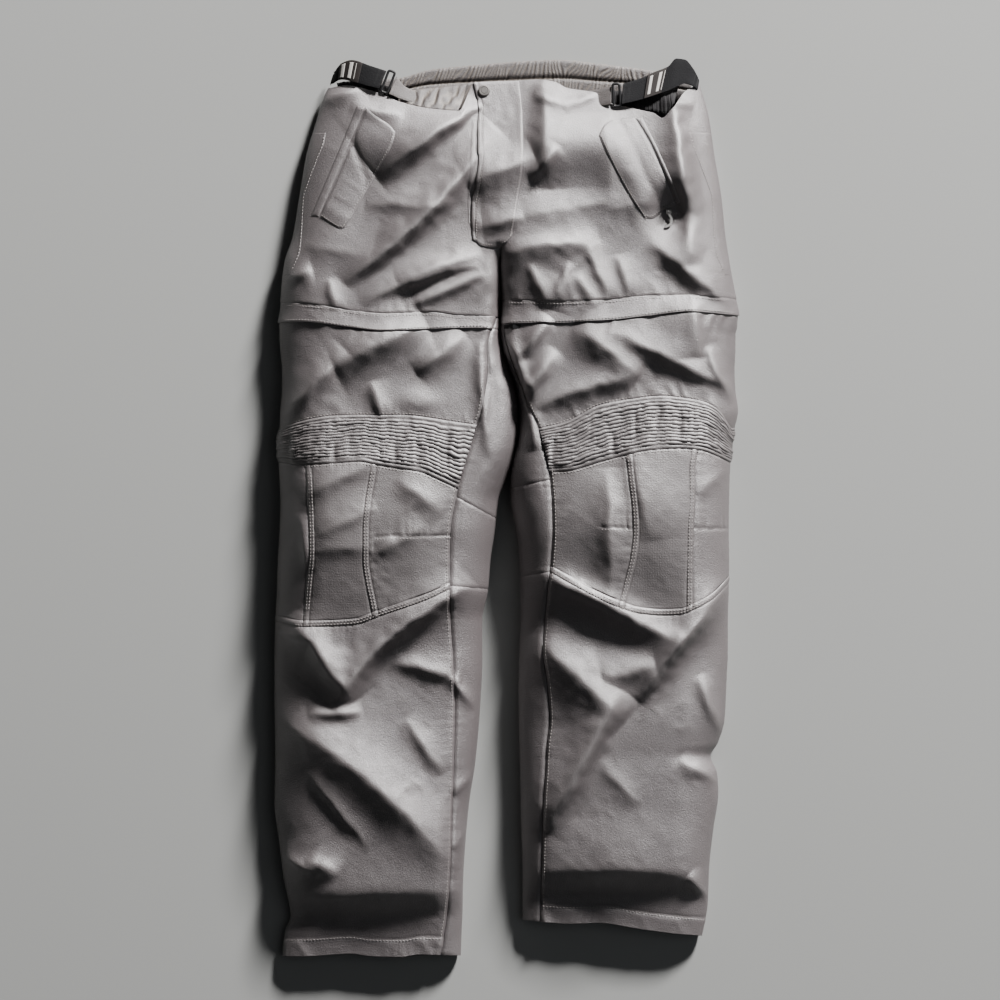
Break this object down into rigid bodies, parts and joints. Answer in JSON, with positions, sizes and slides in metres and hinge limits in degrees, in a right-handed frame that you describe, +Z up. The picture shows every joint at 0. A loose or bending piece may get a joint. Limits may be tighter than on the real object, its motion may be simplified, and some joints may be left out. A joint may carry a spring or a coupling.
{
  "type": "motorcycle trousers laid flat",
  "caption": "Motorcycle trousers laid flat: ribbed stretch panels over shaped knees, buttoned fly, flapped hand pockets and strap adjusters at the waist.",
  "frame": {"origin": "centre of the bounding box's base, on the surface that the trousers lie on", "axes": "+Z up out of the front of the trousers, +Y towards the waist, +X towards the wearer's left leg"},
  "size_m": [0.5584, 1.081, 0.0684],
  "materials": {
    "shell_cloth": "dark grey coated woven nylon, satin",
    "knee_cloth": "dark grey coarse ballistic weave, matt",
    "stretch_cloth": "charcoal ribbed stretch cloth, matt",
    "elastic": "black ribbed elastic",
    "webbing": "black woven webbing",
    "label": "dark rubber tab with two plain pale bars",
    "ring_plastic": "black moulded ring",
    "snap_metal": "dark satin press-button cap",
    "zip_metal": "bright zip metal",
    "zip_black": "black coil zip end"
  },
  "bodies": {
    "trousers": {"back_waist_casing": "shell_cloth", "fly_flap": "shell_cloth", "fly_snap_cap": "snap_metal", "fly_underlap": "shell_cloth", "left_back_hip": "shell_cloth", "left_back_knee": "shell_cloth", "left_back_shin": "shell_cloth", "left_back_thigh": "shell_cloth", "left_band_back": "shell_cloth", "left_band_front": "shell_cloth", "left_front_hip": "shell_cloth", "left_front_shin": "shell_cloth", "left_front_thigh": "shell_cloth", "left_knee_centre": "knee_cloth", "left_knee_side_inner": "knee_cloth", "left_knee_side_outer": "shell_cloth", "left_knee_stretch": "stretch_cloth", "left_pocket_flap": "shell_cloth", "left_pocket_welt": "shell_cloth", "left_ring_tab": "shell_cloth", "left_side_elastic": "elastic", "left_side_pocket": "shell_cloth", "left_strap_label": "label", "left_strap_ring": "ring_plastic", "left_waist_strap": "webbing", "left_zip_off_end": "zip_black", "left_zip_slider": "zip_metal", "right_back_hip": "shell_cloth", "right_back_knee": "shell_cloth", "right_back_shin": "shell_cloth", "right_back_thigh": "shell_cloth", "right_band_back": "shell_cloth", "right_band_front": "shell_cloth", "right_front_hip": "shell_cloth", "right_front_shin": "shell_cloth", "right_front_thigh": "shell_cloth", "right_front_waist_strip": "shell_cloth", "right_knee_centre": "knee_cloth", "right_knee_side_inner": "knee_cloth", "right_knee_side_outer": "shell_cloth", "right_knee_stretch": "stretch_cloth", "right_pocket_flap": "shell_cloth", "right_pocket_welt": "shell_cloth", "right_ring_tab": "shell_cloth", "right_side_elastic": "elastic", "right_side_pocket": "shell_cloth", "right_strap_label": "label", "right_strap_ring": "ring_plastic", "right_waist_strap": "webbing"},
    "pull_tab": {"left_zip_pull": "zip_metal"}
  },
  "joints": [
    {"name": "pull_tab_hinge", "type": "hinge", "parent": "trousers", "child": "pull_tab", "pos_m": [0.1935, 0.354, 0.04361], "axis": [-1, 0, 0], "range_deg": [0, 80]}
  ]
}
